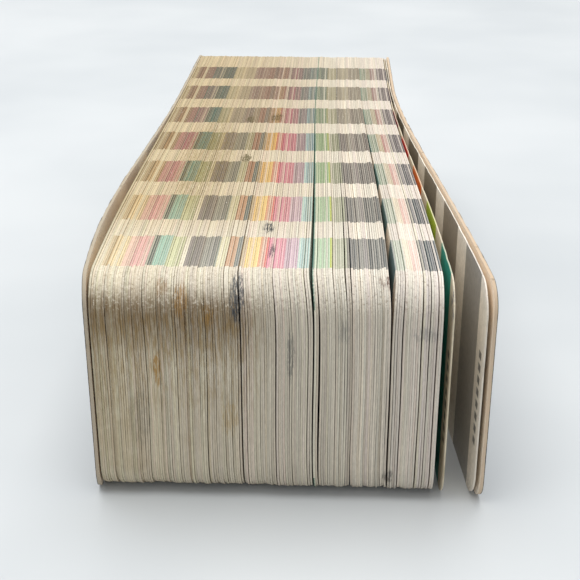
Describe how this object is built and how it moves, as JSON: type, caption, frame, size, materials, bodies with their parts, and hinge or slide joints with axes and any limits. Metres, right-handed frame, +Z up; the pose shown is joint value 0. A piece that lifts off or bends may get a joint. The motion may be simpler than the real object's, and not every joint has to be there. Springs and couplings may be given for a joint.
{
  "type": "colour card fan deck",
  "caption": "Thick fan deck of long narrow colour cards between two chipboard covers, pinned by one binding post near one end.",
  "frame": {"origin": "on the surface that the deck stands on, under the middle of its bounding box", "axes": "+X along the binding post from the front cover to the back cover, -Y towards the cards' free ends, +Z up"},
  "size_m": [0.0862, 0.2114, 0.051],
  "materials": {
    "cover_board": "matte",
    "card_stock": "matte",
    "teal_card": "satin",
    "slate_page": "satin",
    "post_steel": "satin"
  },
  "bodies": {
    "binding_post": {"barrel_post": "post_steel", "extension_post": "post_steel", "post_screw": "post_steel"},
    "front_cover": {"front_cover": "cover_board"},
    "card_bundle_01": {"card_bundle_01": "card_stock"},
    "card_bundle_02": {"card_bundle_02": "card_stock"},
    "card_bundle_03": {"card_bundle_03": "card_stock"},
    "card_bundle_04": {"card_bundle_04": "card_stock"},
    "card_bundle_05": {"card_bundle_05": "card_stock"},
    "card_bundle_06": {"card_bundle_06": "card_stock"},
    "card_bundle_07": {"card_bundle_07": "card_stock"},
    "card_bundle_08": {"card_bundle_08": "card_stock"},
    "card_bundle_09": {"card_bundle_09": "card_stock"},
    "card_bundle_10": {"card_bundle_10": "card_stock"},
    "card_bundle_11": {"card_bundle_11": "card_stock"},
    "card_bundle_12": {"card_bundle_12": "card_stock"},
    "card_bundle_13": {"card_bundle_13": "card_stock"},
    "card_bundle_14": {"card_bundle_14": "card_stock"},
    "card_bundle_15": {"card_bundle_15": "card_stock"},
    "card_bundle_16": {"card_bundle_16": "card_stock"},
    "card_bundle_17": {"card_bundle_17": "card_stock"},
    "card_bundle_18": {"card_bundle_18": "card_stock"},
    "card_bundle_19": {"card_bundle_19": "card_stock"},
    "card_bundle_20": {"card_bundle_20": "card_stock"},
    "card_bundle_21": {"card_bundle_21": "card_stock"},
    "card_bundle_22": {"card_bundle_22": "card_stock"},
    "card_bundle_23": {"card_bundle_23": "card_stock"},
    "card_bundle_24": {"card_bundle_24": "card_stock"},
    "card_bundle_25": {"card_bundle_25": "card_stock"},
    "card_bundle_26": {"card_bundle_26": "card_stock"},
    "card_bundle_27": {"card_bundle_27": "card_stock"},
    "card_bundle_28": {"card_bundle_28": "card_stock"},
    "card_bundle_29": {"card_bundle_29": "card_stock"},
    "card_bundle_30": {"card_bundle_30": "card_stock"},
    "card_bundle_31": {"card_bundle_31": "card_stock"},
    "card_bundle_32": {"card_bundle_32": "card_stock"},
    "card_bundle_33": {"card_bundle_33": "card_stock"},
    "card_bundle_34": {"card_bundle_34": "card_stock"},
    "card_bundle_35": {"card_bundle_35": "card_stock"},
    "card_bundle_36": {"card_bundle_36": "card_stock"},
    "card_bundle_37": {"card_bundle_37": "card_stock"},
    "card_bundle_38": {"card_bundle_38": "card_stock"},
    "card_bundle_39": {"card_bundle_39": "card_stock"},
    "card_bundle_40": {"card_bundle_40": "card_stock"},
    "card_bundle_41": {"card_bundle_41": "card_stock"},
    "card_bundle_42": {"card_bundle_42": "card_stock"},
    "card_bundle_43": {"card_bundle_43": "card_stock"},
    "card_bundle_44": {"card_bundle_44": "card_stock"},
    "card_bundle_45": {"card_bundle_45": "card_stock"},
    "card_bundle_46": {"card_bundle_46": "card_stock"},
    "card_bundle_47": {"card_bundle_47": "card_stock"},
    "card_bundle_48": {"card_bundle_48": "card_stock"},
    "card_bundle_49": {"card_bundle_49": "card_stock"},
    "card_bundle_50": {"card_bundle_50": "card_stock"},
    "loose_card": {"loose_card": "teal_card"},
    "end_page": {"end_page": "slate_page"},
    "back_cover": {"back_cover": "cover_board"}
  },
  "joints": [
    {"name": "front_cover_turn", "type": "hinge", "parent": "binding_post", "child": "front_cover", "pos_m": [-0.0056, 0.0895, 0.0254], "axis": [-1, 0, 0], "continuous": true},
    {"name": "card_bundle_01_turn", "type": "hinge", "parent": "binding_post", "child": "card_bundle_01", "pos_m": [-0.0056, 0.0895, 0.0254], "axis": [-1, 0, 0], "continuous": true},
    {"name": "card_bundle_02_turn", "type": "hinge", "parent": "binding_post", "child": "card_bundle_02", "pos_m": [-0.0056, 0.0895, 0.0254], "axis": [-1, 0, 0], "continuous": true},
    {"name": "card_bundle_03_turn", "type": "hinge", "parent": "binding_post", "child": "card_bundle_03", "pos_m": [-0.0056, 0.0895, 0.0254], "axis": [-1, 0, 0], "continuous": true},
    {"name": "card_bundle_04_turn", "type": "hinge", "parent": "binding_post", "child": "card_bundle_04", "pos_m": [-0.0056, 0.0895, 0.0254], "axis": [-1, 0, 0], "continuous": true},
    {"name": "card_bundle_05_turn", "type": "hinge", "parent": "binding_post", "child": "card_bundle_05", "pos_m": [-0.0056, 0.0895, 0.0254], "axis": [-1, 0, 0], "continuous": true},
    {"name": "card_bundle_06_turn", "type": "hinge", "parent": "binding_post", "child": "card_bundle_06", "pos_m": [-0.0056, 0.0895, 0.0254], "axis": [-1, 0, 0], "continuous": true},
    {"name": "card_bundle_07_turn", "type": "hinge", "parent": "binding_post", "child": "card_bundle_07", "pos_m": [-0.0056, 0.0895, 0.0254], "axis": [-1, 0, 0], "continuous": true},
    {"name": "card_bundle_08_turn", "type": "hinge", "parent": "binding_post", "child": "card_bundle_08", "pos_m": [-0.0056, 0.0895, 0.0254], "axis": [-1, 0, 0], "continuous": true},
    {"name": "card_bundle_09_turn", "type": "hinge", "parent": "binding_post", "child": "card_bundle_09", "pos_m": [-0.0056, 0.0895, 0.0254], "axis": [-1, 0, 0], "continuous": true},
    {"name": "card_bundle_10_turn", "type": "hinge", "parent": "binding_post", "child": "card_bundle_10", "pos_m": [-0.0056, 0.0895, 0.0254], "axis": [-1, 0, 0], "continuous": true},
    {"name": "card_bundle_11_turn", "type": "hinge", "parent": "binding_post", "child": "card_bundle_11", "pos_m": [-0.0056, 0.0895, 0.0254], "axis": [-1, 0, 0], "continuous": true},
    {"name": "card_bundle_12_turn", "type": "hinge", "parent": "binding_post", "child": "card_bundle_12", "pos_m": [-0.0056, 0.0895, 0.0254], "axis": [-1, 0, 0], "continuous": true},
    {"name": "card_bundle_13_turn", "type": "hinge", "parent": "binding_post", "child": "card_bundle_13", "pos_m": [-0.0056, 0.0895, 0.0254], "axis": [-1, 0, 0], "continuous": true},
    {"name": "card_bundle_14_turn", "type": "hinge", "parent": "binding_post", "child": "card_bundle_14", "pos_m": [-0.0056, 0.0895, 0.0254], "axis": [-1, 0, 0], "continuous": true},
    {"name": "card_bundle_15_turn", "type": "hinge", "parent": "binding_post", "child": "card_bundle_15", "pos_m": [-0.0056, 0.0895, 0.0254], "axis": [-1, 0, 0], "continuous": true},
    {"name": "card_bundle_16_turn", "type": "hinge", "parent": "binding_post", "child": "card_bundle_16", "pos_m": [-0.0056, 0.0895, 0.0254], "axis": [-1, 0, 0], "continuous": true},
    {"name": "card_bundle_17_turn", "type": "hinge", "parent": "binding_post", "child": "card_bundle_17", "pos_m": [-0.0056, 0.0895, 0.0254], "axis": [-1, 0, 0], "continuous": true},
    {"name": "card_bundle_18_turn", "type": "hinge", "parent": "binding_post", "child": "card_bundle_18", "pos_m": [-0.0056, 0.0895, 0.0254], "axis": [-1, 0, 0], "continuous": true},
    {"name": "card_bundle_19_turn", "type": "hinge", "parent": "binding_post", "child": "card_bundle_19", "pos_m": [-0.0056, 0.0895, 0.0254], "axis": [-1, 0, 0], "continuous": true},
    {"name": "card_bundle_20_turn", "type": "hinge", "parent": "binding_post", "child": "card_bundle_20", "pos_m": [-0.0056, 0.0895, 0.0254], "axis": [-1, 0, 0], "continuous": true},
    {"name": "card_bundle_21_turn", "type": "hinge", "parent": "binding_post", "child": "card_bundle_21", "pos_m": [-0.0056, 0.0895, 0.0254], "axis": [-1, 0, 0], "continuous": true},
    {"name": "card_bundle_22_turn", "type": "hinge", "parent": "binding_post", "child": "card_bundle_22", "pos_m": [-0.0056, 0.0895, 0.0254], "axis": [-1, 0, 0], "continuous": true},
    {"name": "card_bundle_23_turn", "type": "hinge", "parent": "binding_post", "child": "card_bundle_23", "pos_m": [-0.0056, 0.0895, 0.0254], "axis": [-1, 0, 0], "continuous": true},
    {"name": "card_bundle_24_turn", "type": "hinge", "parent": "binding_post", "child": "card_bundle_24", "pos_m": [-0.0056, 0.0895, 0.0254], "axis": [-1, 0, 0], "continuous": true},
    {"name": "card_bundle_25_turn", "type": "hinge", "parent": "binding_post", "child": "card_bundle_25", "pos_m": [-0.0056, 0.0895, 0.0254], "axis": [-1, 0, 0], "continuous": true},
    {"name": "card_bundle_26_turn", "type": "hinge", "parent": "binding_post", "child": "card_bundle_26", "pos_m": [-0.0056, 0.0895, 0.0254], "axis": [-1, 0, 0], "continuous": true},
    {"name": "card_bundle_27_turn", "type": "hinge", "parent": "binding_post", "child": "card_bundle_27", "pos_m": [-0.0056, 0.0895, 0.0254], "axis": [-1, 0, 0], "continuous": true},
    {"name": "card_bundle_28_turn", "type": "hinge", "parent": "binding_post", "child": "card_bundle_28", "pos_m": [-0.0056, 0.0895, 0.0254], "axis": [-1, 0, 0], "continuous": true},
    {"name": "card_bundle_29_turn", "type": "hinge", "parent": "binding_post", "child": "card_bundle_29", "pos_m": [-0.0056, 0.0895, 0.0254], "axis": [-1, 0, 0], "continuous": true},
    {"name": "card_bundle_30_turn", "type": "hinge", "parent": "binding_post", "child": "card_bundle_30", "pos_m": [-0.0056, 0.0895, 0.0254], "axis": [-1, 0, 0], "continuous": true},
    {"name": "card_bundle_31_turn", "type": "hinge", "parent": "binding_post", "child": "card_bundle_31", "pos_m": [-0.0056, 0.0895, 0.0254], "axis": [-1, 0, 0], "continuous": true},
    {"name": "card_bundle_32_turn", "type": "hinge", "parent": "binding_post", "child": "card_bundle_32", "pos_m": [-0.0056, 0.0895, 0.0254], "axis": [-1, 0, 0], "continuous": true},
    {"name": "card_bundle_33_turn", "type": "hinge", "parent": "binding_post", "child": "card_bundle_33", "pos_m": [-0.0056, 0.0895, 0.0254], "axis": [-1, 0, 0], "continuous": true},
    {"name": "card_bundle_34_turn", "type": "hinge", "parent": "binding_post", "child": "card_bundle_34", "pos_m": [-0.0056, 0.0895, 0.0254], "axis": [-1, 0, 0], "continuous": true},
    {"name": "card_bundle_35_turn", "type": "hinge", "parent": "binding_post", "child": "card_bundle_35", "pos_m": [-0.0056, 0.0895, 0.0254], "axis": [-1, 0, 0], "continuous": true},
    {"name": "card_bundle_36_turn", "type": "hinge", "parent": "binding_post", "child": "card_bundle_36", "pos_m": [-0.0056, 0.0895, 0.0254], "axis": [-1, 0, 0], "continuous": true},
    {"name": "card_bundle_37_turn", "type": "hinge", "parent": "binding_post", "child": "card_bundle_37", "pos_m": [-0.0056, 0.0895, 0.0254], "axis": [-1, 0, 0], "continuous": true},
    {"name": "card_bundle_38_turn", "type": "hinge", "parent": "binding_post", "child": "card_bundle_38", "pos_m": [-0.0056, 0.0895, 0.0254], "axis": [-1, 0, 0], "continuous": true},
    {"name": "card_bundle_39_turn", "type": "hinge", "parent": "binding_post", "child": "card_bundle_39", "pos_m": [-0.0056, 0.0895, 0.0254], "axis": [-1, 0, 0], "continuous": true},
    {"name": "card_bundle_40_turn", "type": "hinge", "parent": "binding_post", "child": "card_bundle_40", "pos_m": [-0.0056, 0.0895, 0.0254], "axis": [-1, 0, 0], "continuous": true},
    {"name": "card_bundle_41_turn", "type": "hinge", "parent": "binding_post", "child": "card_bundle_41", "pos_m": [-0.0056, 0.0895, 0.0254], "axis": [-1, 0, 0], "continuous": true},
    {"name": "card_bundle_42_turn", "type": "hinge", "parent": "binding_post", "child": "card_bundle_42", "pos_m": [-0.0056, 0.0895, 0.0254], "axis": [-1, 0, 0], "continuous": true},
    {"name": "card_bundle_43_turn", "type": "hinge", "parent": "binding_post", "child": "card_bundle_43", "pos_m": [-0.0056, 0.0895, 0.0254], "axis": [-1, 0, 0], "continuous": true},
    {"name": "card_bundle_44_turn", "type": "hinge", "parent": "binding_post", "child": "card_bundle_44", "pos_m": [-0.0056, 0.0895, 0.0254], "axis": [-1, 0, 0], "continuous": true},
    {"name": "card_bundle_45_turn", "type": "hinge", "parent": "binding_post", "child": "card_bundle_45", "pos_m": [-0.0056, 0.0895, 0.0254], "axis": [-1, 0, 0], "continuous": true},
    {"name": "card_bundle_46_turn", "type": "hinge", "parent": "binding_post", "child": "card_bundle_46", "pos_m": [-0.0056, 0.0895, 0.0254], "axis": [-1, 0, 0], "continuous": true},
    {"name": "card_bundle_47_turn", "type": "hinge", "parent": "binding_post", "child": "card_bundle_47", "pos_m": [-0.0056, 0.0895, 0.0254], "axis": [-1, 0, 0], "continuous": true},
    {"name": "card_bundle_48_turn", "type": "hinge", "parent": "binding_post", "child": "card_bundle_48", "pos_m": [-0.0056, 0.0895, 0.0254], "axis": [-1, 0, 0], "continuous": true},
    {"name": "card_bundle_49_turn", "type": "hinge", "parent": "binding_post", "child": "card_bundle_49", "pos_m": [-0.0056, 0.0895, 0.0254], "axis": [-1, 0, 0], "continuous": true},
    {"name": "card_bundle_50_turn", "type": "hinge", "parent": "binding_post", "child": "card_bundle_50", "pos_m": [-0.0056, 0.0895, 0.0254], "axis": [-1, 0, 0], "continuous": true},
    {"name": "loose_card_turn", "type": "hinge", "parent": "binding_post", "child": "loose_card", "pos_m": [-0.0056, 0.0895, 0.0254], "axis": [-1, 0, 0], "continuous": true},
    {"name": "end_page_turn", "type": "hinge", "parent": "binding_post", "child": "end_page", "pos_m": [-0.0056, 0.0895, 0.0254], "axis": [-1, 0, 0], "continuous": true},
    {"name": "back_cover_turn", "type": "hinge", "parent": "binding_post", "child": "back_cover", "pos_m": [-0.0056, 0.0895, 0.0254], "axis": [-1, 0, 0], "continuous": true}
  ]
}
